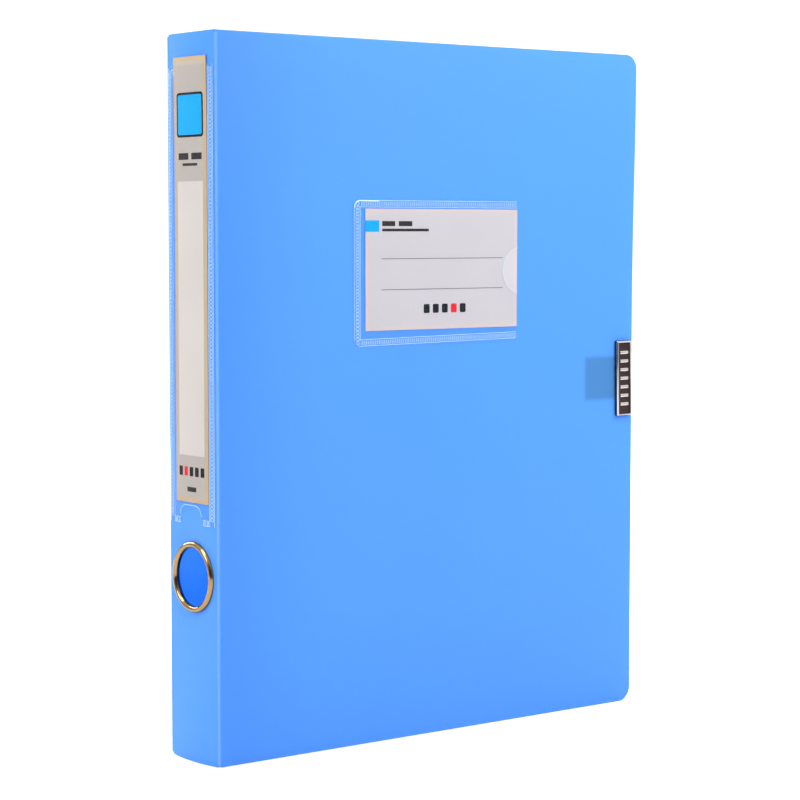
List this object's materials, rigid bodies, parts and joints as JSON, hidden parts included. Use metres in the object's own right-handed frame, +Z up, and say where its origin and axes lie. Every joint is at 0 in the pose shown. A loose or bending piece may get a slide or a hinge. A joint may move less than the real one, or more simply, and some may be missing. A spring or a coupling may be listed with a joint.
{
  "type": "plastic file box",
  "caption": "Slim upright document box of folded translucent plastic sheet with a hinged spine and cover, label pockets, a brass finger ring and a clasp plate.",
  "frame": {"origin": "middle of the foot: centre of the bounding box in plan, at its lowest height", "axes": "+Z up along the box's height, +X from the spine to the fore edge, +Y from the cover to the back"},
  "size_m": [0.24, 0.039, 0.31],
  "materials": {
    "blue_sheet": "translucent blue polypropylene, fine matte grain",
    "hook_tape": "woven hook tape",
    "loop_tape": "napped loop tape",
    "clear_film": "clear glossy film with knurled welds",
    "front_label_card": "uncoated off-white card",
    "spine_label_card": "uncoated grey-beige card",
    "ring_brass": "polished",
    "plate_chrome": "bright plated, dark sunk field"
  },
  "bodies": {
    "tray": {"tray_sheet": "blue_sheet", "loop_pad": "loop_tape"},
    "spine": {"spine_panel": "blue_sheet", "spine_pocket_film": "clear_film", "spine_card": "spine_label_card", "finger_ring": "ring_brass", "finger_ring_washer": "ring_brass"},
    "cover": {"front_cover": "blue_sheet", "front_pocket_film": "clear_film", "front_card": "front_label_card", "hook_pad": "hook_tape", "clasp_plate": "plate_chrome"}
  },
  "joints": [
    {"name": "spine_fold", "type": "hinge", "parent": "tray", "child": "spine", "pos_m": [-0.11755, 0.01908, 0.155], "axis": [0, 0, -1], "range_deg": [0, 90]},
    {"name": "cover_fold", "type": "hinge", "parent": "spine", "child": "cover", "pos_m": [-0.11755, -0.01702, 0.155], "axis": [0, 0, -1], "range_deg": [0, 180]}
  ]
}
